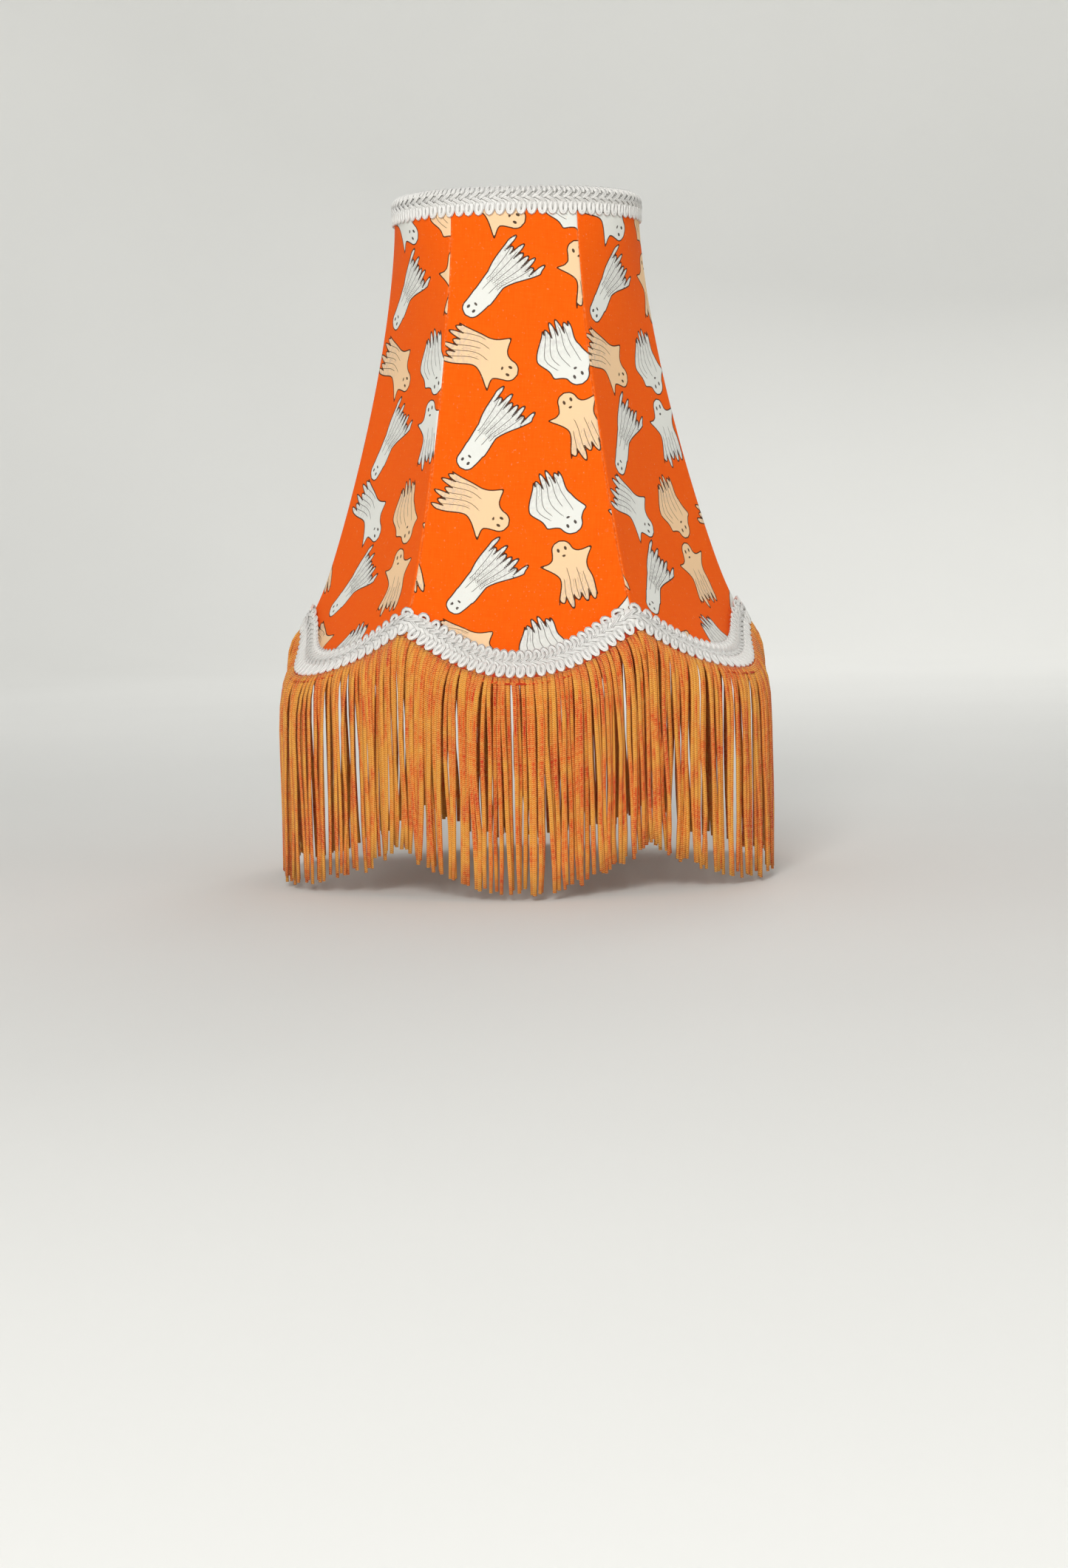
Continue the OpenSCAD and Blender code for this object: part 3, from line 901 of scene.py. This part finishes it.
def braid(name, node, way, length, base, stretch_from, stretch, mat):
    """Looped braid: rows of cord loops on both sides of a plait, over a flat ground.

    way is the surface it follows. Every cord is an oval tube on a path (across, up, height)
    that repeats each LOOP_MM; above stretch_from the pattern is drawn out by stretch. Each
    loop is most of an ellipse. The plait's arms are slanting lines that arch over each other
    by a half sine, in pairs that meet at the middle.
    """
    count = round(length / LOOP_MM)
    pitch = length / count
    cell = pitch * np.arange(count)[:, None]
    jitter = np.random.default_rng(len(name)).uniform(-1, 1, (4, count, 1))

    def follow(across, up, height, wide, thick, sides, wave=0.0):
        up = np.where(up > stretch_from, stretch_from + (up - stretch_from) * stretch, up)
        run = cell + across * pitch / LOOP_MM + 0.12 * wave
        path = way(run, up + 0 * cell, base + height)
        face = way(run, up + 0 * cell, base + height + 0.3) - path
        return tubes(path, wide, thick, face, sides)

    parts = []
    x, up = arc_path(1.2, 3.1, 2.3, 152, 11)
    height = 0.6 + 0.25 * np.linspace(-1, 1, 11) ** 2
    parts.append(follow(x + 0.12 * (up - 2), up, height, 0.98, 0.6, 6, jitter[0]))
    x, up = arc_path(1.2, 10.3, -1.5, 150, 9)
    parts.append(follow(x - 0.15 * (up - 10), up, 0.6 + 0 * x, 0.98, 0.55, 4, jitter[1]))
    t = np.linspace(0, 1, 6)
    for side in (0.0, 0.5):
        arm = 0.55 + 0.55 * np.sin(np.pi * (0.15 + 0.8 * t))
        x = 1.3 - 4.6 * t + 0.55 * side
        low = 4.5 + 2.9 * t ** 0.8 + 1.05 * side
        parts.append(follow(x, low, arm + 0.12 * side, 0.52, 0.42, 4, jitter[2]))
        high = 10.0 - 2.7 * t ** 0.8 - 1.05 * side
        parts.append(follow(x - 1.4, high, arm - 0.05 + 0.12 * side, 0.52, 0.42, 4, jitter[3]))
    run = np.linspace(0, length, 2 * count, endpoint=False)
    ground = [(10.3, 0.4), (7.2, 0.5), (2.5, 0.4), (2.5, 0.05), (7.2, 0.05), (10.3, 0.05)]
    rows = []
    for up, height in ground:
        up = stretch_from + (up - stretch_from) * stretch if up > stretch_from else up
        rows.append(way(run, up + 0 * run, base + height))
    faces = grid_faces(len(rows), len(run), belt=True)
    parts.append((np.concatenate(rows), [faces], [np.zeros(faces.shape + (2,))]))
    return dressed(piece(name, *joined(parts)), mat, node)


# ---------------------------------------------------------------- heading and fringe

HEADING_W = 12.0
HEADING_SHOW = 3.0             # how much of the heading shows below the braid
KNOT_MM = 1.5                  # from one knot along its edge to the next
FRINGE_OUT = 5.0               # how far the cords swing out before they hang
FRINGE_TURN = 5.5              # the fall in which they do most of it
FAN_MM = 4.2                   # how far the cords fan out from the peaks of the edge
CORDS = 64                     # fringe cords on each panel


def heading(mat):
    """Woven tape under the lower braid, with rows of knots, |sin|, along the edge that shows.

    It is a belt: rows down its outer face, round its edge, and up its back, each with its
    height above the scalloped edge, its lift off the cloth and its share of the knots.
    """
    run = np.linspace(0, EDGE_LENGTH, 900, endpoint=False)
    rows, heights = [], []
    knots = 0.28 * np.abs(np.sin(np.pi * run / KNOT_MM))
    top = HEADING_W - HEADING_SHOW
    for up, lift, swell in ((top, 0.9, 0), (4, 0.9, 0), (0.9, 0.85, 0), (0.2, 0.6, 0.5),
                            (-0.8, 0.5, 1), (-1.4, 0.42, 0.2), (-2.0, 0.5, 1), (-2.7, 0.4, 0.6),
                            (-HEADING_SHOW, 0.25, 0), (-2.7, 0.1, 0), (0, 0.1, 0), (top, 0.1, 0)):
        rows.append(on_edge(run, up + 0 * run, lift + swell * knots))
        heights.append(up)
    faces = grid_faces(len(rows), len(run), belt=True)
    uv = np.stack([np.tile(run, len(rows)), np.repeat(heights, len(run))], -1)
    tape = piece("heading", np.concatenate(rows), [faces], [uv[faces]])
    return dressed(tape, mat, "fringe_heading")


def fringe(k, mat):
    """Curtain of chainette cords on one panel, each an oval tube on its own hanging path.

    A cord leaves the heading square to it, swings out by 1 - exp(-fall / turn) and hangs.
    Smooth waves, two shared by neighbours and one its own, gather the cords into clusters
    with gaps between them. The cords hang in two layers, and near a peak of the edge they
    fan out by the tangent of its slope.
    """
    rng = np.random.default_rng(40 + k)
    first = EDGE_LENGTH / PANELS * (k - 1)
    run = first + EDGE_LENGTH / PANELS * (np.arange(CORDS) + 0.5) / CORDS
    run = run + rng.uniform(-0.35, 0.35, CORDS)
    layer = np.where(rng.uniform(size=CORDS) < 0.42, -1.0, 0.75) + rng.uniform(-0.25, 0.25, CORDS)
    angle, low, slope = (np.interp(run, EDGE_RUN, t) for t in (EDGE_ANGLE, EDGE_DEPTH, EDGE_SLOPE))
    start = low + 0.2 * np.cos(slope)
    radius = cloth_radius(angle, start, 1.25)
    length = low + FRINGE_DROP - start + rng.uniform(-2.2, 1.4, CORDS)
    share = np.array([0, 0.02, 0.05, 0.1, 0.18, 0.3, 0.45, 0.6, 0.75, 0.88, 1.0])
    fall = length[:, None] * share
    swing = 1 - np.exp(-fall / 9.0)
    gather = (smooth_noise(run[:, None] + 0.05 * fall, 7, 7.0) * 1.5
              + smooth_noise(run[:, None] - 0.08 * fall, 8, 3.1) * 0.8)
    own = smooth_noise(fall + 400 * np.arange(CORDS)[:, None] + 97 * k, 9, 26.0) * 0.75
    tilt = rng.normal(0, 0.008, (CORDS, 1)) * fall
    aside = (np.tan(slope)[:, None] * -FAN_MM + gather + own * (0.3 + fall / 90)) * swing + tilt
    out = radius[:, None] + FRINGE_OUT * (1 - np.exp(-fall / FRINGE_TURN)) + layer[:, None] * swing
    out = out + 0.5 * smooth_noise(fall + 300 * np.arange(CORDS)[:, None], 10, 30.0) * swing
    around = angle[:, None] + np.degrees(aside / out)
    path = place(around, out, start[:, None] + fall)
    face = place(around, 1.0 + 0 * out, 0 * out) - [0, 0, TOP_Z]
    girth = rng.uniform(0.88, 1.16, (CORDS, 1)) * (1 + 0.05 * np.sin(fall / 3.1 + k))
    girth = girth * np.where(share > 0.99, 0.8, 1.0)
    points, faces, uvs = tubes(path, girth, 0.66, face, 5)
    strand = np.repeat(rng.uniform(0, 1, CORDS), len(share) * 5)
    cords = piece(f"fringe_cords_{k}", points, faces, uvs, {"strand": strand})
    return dressed(cords, mat, f"fringe_{k}")


# ---------------------------------------------------------------- the wire frame

RIB_WIRE = 2.6
ARM_WIRE = 3.2
WELD = 0.3                     # how far a welded wire sinks into its neighbour


def wire(name, path, radius, face, mat, node, closed=False):
    """Round wire along a path, thicker where radius says, for a frame node."""
    points, faces, uvs = tubes(path[None], radius, radius, face, 14, closed)
    return dressed(piece(name, points, faces, uvs), mat, node)


def ring(mat):
    """Top ring: a circle of wire at the ring's level."""
    angle = np.linspace(0, 360, 160, endpoint=False)
    path = place(angle, RING_R + 0 * angle, RING_DEPTH + 0 * angle)
    return wire("ring", path, RING_WIRE / 2, np.array([0, 0, 1.0]), mat, "top_ring", closed=True)


def rib(k, mat):
    """Rib k, along the crease at the left of panel k, inside the cover."""
    start = RING_DEPTH + RING_WIRE / 2 - WELD
    depth = np.linspace(start, RIB_DROP - RIB_WIRE * 0.85, 48)
    angle = panel_angle(k) - HALF_PANEL + 0 * depth
    lift = COVER_T + GAP + RIB_WIRE / 2
    radius = rib_radius(depth) - lift * np.sqrt(1 + rib_slope(depth) ** 2)
    face = place(angle, 1 + 0 * depth, TOP_Z + 0 * depth)
    return wire(f"rib_wire_{k}", place(angle, radius, depth), RIB_WIRE / 2, face, mat, f"rib_{k}")


def spider_arm(k, mat):
    """Arm from the ring to the fitter: level, then a dip of sin squared, then level again.

    The wire swells into its weld at both ends by exp(-distance / 1.3 mm).
    """
    t = np.linspace(0, 1, 40)
    outer = RING_R - RING_WIRE / 2 + WELD
    inner = WASHER_R - WELD
    dip = np.sin(0.5 * np.pi * np.clip((t - 0.12) / 0.6, 0, 1)) ** 2
    angle = panel_angle(2 * k) - HALF_PANEL + 0 * t
    path = place(angle, outer + (inner - outer) * t, RING_DEPTH + (RING_Z - WASHER_T / 2) * dip)
    edge = np.minimum(t, 1 - t) * (outer - inner)
    radius = ARM_WIRE / 2 * (1 + 0.3 * np.exp(-edge / 1.3))
    a = math.radians(panel_angle(2 * k) - HALF_PANEL)
    return wire(f"arm_{k}", path, radius, np.array([-math.sin(a), math.cos(a), 0]), mat,
                f"spider_arm_{k}")


def scallop_wire(k, mat):
    """Bottom wire of panel k, just above the scalloped edge and inside the cover."""
    u = 0.975 * np.linspace(-1, 1, 60)
    depth = edge_depth(u) - RIB_WIRE * 0.85
    angle = panel_angle(k) + HALF_PANEL * u
    path = on_cloth(angle, depth, -(COVER_T + 3 * GAP + RIB_WIRE / 2))
    return wire(f"bottom_wire_{k}", path, RIB_WIRE / 2, np.array([0, 0, 1.0]), mat,
                f"scallop_wire_{k}")


WASHER_LOW, WASHER_HIGH = box_mm("fitter_washer")
WASHER_R = WASHER_HIGH[0]
WASHER_T = WASHER_HIGH[2] - WASHER_LOW[2]
HOLE_R = 11.1 / 2              # goes over the stud of a harp


def washer(mat):
    """Fitter washer: a flat ring whose four edges are rounded by small bevels."""
    b = 0.35
    r, h, t = WASHER_R, HOLE_R, WASHER_T
    c = b / 3
    profile = [(r - b, t), (r - c, t - c), (r, t - b), (r, b), (r - c, c), (r - b, 0),
               (h + b, 0), (h + c, c), (h, b), (h, t - b), (h + c, t - c), (h + b, t)]
    points, faces = turned(profile, 128)
    obj = piece("washer", points, [faces])
    obj.data.set_sharp_from_angle(angle=math.radians(50))
    return dressed(obj, mat, "fitter_washer")


# ---------------------------------------------------------------- putting it together

cotton, plain = printed_cotton(), lining_cotton()
rayon, chainette, steel = braid_rayon(), fringe_chainette(), frame_steel()
pieces = [ring(steel), washer(fitter_brass())]
pieces += [spider_arm(k, steel) for k in (1, 2, 3)]
ribs = [rib(k, steel) for k in range(1, 7)]
wires = [scallop_wire(k, steel) for k in range(1, 7)]
upper = braid("upper_braid", "top_braid", over_ring, TOP_LENGTH, GAP, BRAID_W - RING_DEPTH,
              1.6, rayon)
lower = braid("lower_braid", "bottom_braid", on_edge, EDGE_LENGTH, 1.0, BRAID_W, 1.0, rayon)
tape = heading(heading_weave())
curtains = [fringe(k, chainette) for k in range(1, 7)]
pieces += ribs + wires + [upper, lower, tape] + curtains
for k in range(1, PANELS + 1):
    outer, (size, area) = cover(k, cotton)
    inner, (size, area) = lining(k, plain)
    pieces += [outer, inner]
for obj in pieces:
    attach(obj, "root")


# ---------------------------------------------------------------- room, light and camera

def studio():
    """Round pale floor that curves up into a wall: level, a quarter circle, then upright."""
    floor_z = box_mm("fringe_1")[0][2] - 3.0
    bend = np.linspace(0, 0.5 * np.pi, 20)
    radius = np.concatenate([[4, 400, 1000, 1600], 1900 + 700 * np.sin(bend), [2600, 2600]])
    height = np.concatenate([[0] * 4, 700 - 700 * np.cos(bend), [1600, 2600]])
    angle = np.radians(np.linspace(0, 360, 96, endpoint=False))
    points = np.stack([radius[:, None] * np.cos(angle), radius[:, None] * np.sin(angle),
                       floor_z + height[:, None] + 0 * angle], -1)
    rows, cols = points.shape[:2]
    quads = grid_faces(rows + 1, cols, belt=True)[:(rows - 1) * cols]
    backdrop = piece("floor", points.reshape(-1, 3), [quads, np.arange(cols)[None]])

    def build(n):
        place_in = n.add("ShaderNodeTexCoord", out="Object")
        colour = n.mix(n.noise(place_in, 3.0, 2.0), linear(238, 238, 235), linear(232, 232, 229))
        return {"Base Color": colour}
    backdrop.data.materials.append(material("floor_paper", build, Roughness=0.9))


def lamp(name, at, aim, size, power, colour=(1, 1, 1)):
    """Soft square light at a place in metres, turned towards another."""
    light = bpy.data.lights.new(name, "AREA")
    light.size, light.energy, light.color = size, power, colour
    obj = bpy.data.objects.new(name, light)
    bpy.context.scene.collection.objects.link(obj)
    obj.location = at
    obj.rotation_euler = (Vector(aim) - Vector(at)).to_track_quat("-Z", "Y").to_euler()


def camera():
    """Camera a little below the top of the shade, looking slightly down with a small roll."""
    distance, height, across = 1.400, -0.1137, 0.0024
    az, pitch, roll = (math.radians(a) for a in (1.37, 4.90, -1.18))
    at = Vector((distance * math.sin(az) + across * math.cos(az),
                 -distance * math.cos(az) + across * math.sin(az), height))
    ahead = Vector((-math.sin(az) * math.cos(pitch), math.cos(az) * math.cos(pitch),
                    -math.sin(pitch)))
    right = Vector((math.cos(az), math.sin(az), 0))
    up = right.cross(ahead)
    across_axis = right * math.cos(roll) + up * math.sin(roll)
    up_axis = up * math.cos(roll) - right * math.sin(roll)
    data = bpy.data.cameras.new("camera")
    data.sensor_width, data.sensor_fit = 36, "AUTO"
    data.lens = 36 * 4391 / 2121
    data.clip_start, data.clip_end = 0.01, 50
    obj = bpy.data.objects.new("camera", data)
    obj.matrix_world = Matrix.Translation(at) @ Matrix(
        (across_axis, up_axis, -ahead)).transposed().to_4x4()
    bpy.context.scene.collection.objects.link(obj)
    bpy.context.scene.camera = obj


studio()
camera()
lamp("key", (-0.25, -2.2, 0.9), (0, 0, -0.12), 0.7, 34, (1, 0.99, 0.97))
lamp("fill", (1.6, -1.4, 0.3), (0, 0, -0.12), 1.2, 1.5, (0.97, 0.98, 1))
lamp("behind", (0.5, 2.1, 0.9), (0, 0, -0.12), 0.9, 8, (1, 0.99, 0.97))
lamp("over", (0.0, 0.5, 2.1), (0, 0.2, -0.1), 2.0, 5)
lamp("wall_wash", (0, 1.2, 1.4), (0, 2.6, 0.2), 1.6, 6)
world = bpy.data.worlds.new("studio_air")
world.use_nodes = True
world.node_tree.nodes["Background"].inputs["Color"].default_value = (0.9, 0.92, 0.95, 1)
world.node_tree.nodes["Background"].inputs["Strength"].default_value = 0.22
bpy.context.scene.world = world
bpy.context.scene.view_settings.view_transform = "Standard"
